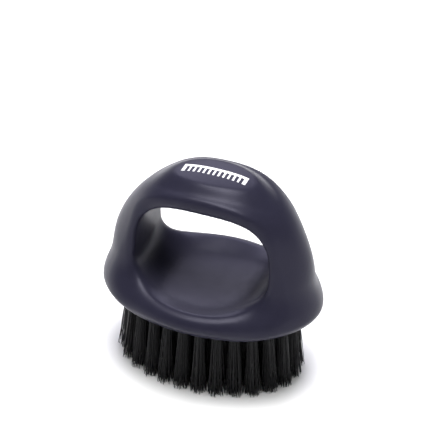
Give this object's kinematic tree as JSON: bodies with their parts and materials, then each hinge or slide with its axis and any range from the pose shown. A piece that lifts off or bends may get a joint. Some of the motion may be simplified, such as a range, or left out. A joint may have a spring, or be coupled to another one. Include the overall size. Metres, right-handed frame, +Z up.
{
  "type": "fade brush",
  "caption": "Palm-held barber brush: oval base, arched handle with a finger opening, and black bristle tufts set in rings below.",
  "frame": {"origin": "middle of the brush on the plane of the bristle tips, the bottom centre of its box", "axes": "+Z up, away from the bristle tips; X along the handle; Y across it, through the finger opening"},
  "size_m": [0.0961, 0.0668, 0.0938],
  "materials": {
    "handle": "soft-touch matte charcoal, faint satin sheen",
    "plate": "matte black moulded plastic",
    "bristle": "black nylon filament with a satin sheen",
    "print": "white pad print of a plain comb on the crown",
    "anchor": "thin steel wedges that hold the bundles in their holes"
  },
  "bodies": {
    "root": {"handle_shell": "handle", "bristle_plate": "plate", "tuft_outer_01": "bristle", "tuft_outer_02": "bristle", "tuft_outer_03": "bristle", "tuft_outer_04": "bristle", "tuft_outer_05": "bristle", "tuft_outer_06": "bristle", "tuft_outer_07": "bristle", "tuft_outer_08": "bristle", "tuft_outer_09": "bristle", "tuft_outer_10": "bristle", "tuft_outer_11": "bristle", "tuft_outer_12": "bristle", "tuft_outer_13": "bristle", "tuft_outer_14": "bristle", "tuft_outer_15": "bristle", "tuft_outer_16": "bristle", "tuft_outer_17": "bristle", "tuft_outer_18": "bristle", "tuft_outer_19": "bristle", "tuft_outer_20": "bristle", "tuft_outer_21": "bristle", "tuft_outer_22": "bristle", "tuft_outer_23": "bristle", "tuft_outer_24": "bristle", "tuft_outer_25": "bristle", "tuft_outer_26": "bristle", "tuft_middle_01": "bristle", "tuft_middle_02": "bristle", "tuft_middle_03": "bristle", "tuft_middle_04": "bristle", "tuft_middle_05": "bristle", "tuft_middle_06": "bristle", "tuft_middle_07": "bristle", "tuft_middle_08": "bristle", "tuft_middle_09": "bristle", "tuft_middle_10": "bristle", "tuft_middle_11": "bristle", "tuft_middle_12": "bristle", "tuft_middle_13": "bristle", "tuft_middle_14": "bristle", "tuft_middle_15": "bristle", "tuft_middle_16": "bristle", "tuft_middle_17": "bristle", "tuft_middle_18": "bristle", "tuft_inner_01": "bristle", "tuft_inner_02": "bristle", "tuft_inner_03": "bristle", "tuft_inner_04": "bristle", "tuft_inner_05": "bristle", "tuft_inner_06": "bristle", "tuft_inner_07": "bristle", "tuft_inner_08": "bristle", "tuft_inner_09": "bristle", "tuft_inner_10": "bristle", "tuft_centre_01": "bristle", "tuft_centre_02": "bristle", "tuft_centre_03": "bristle"}
  },
  "joints": []
}
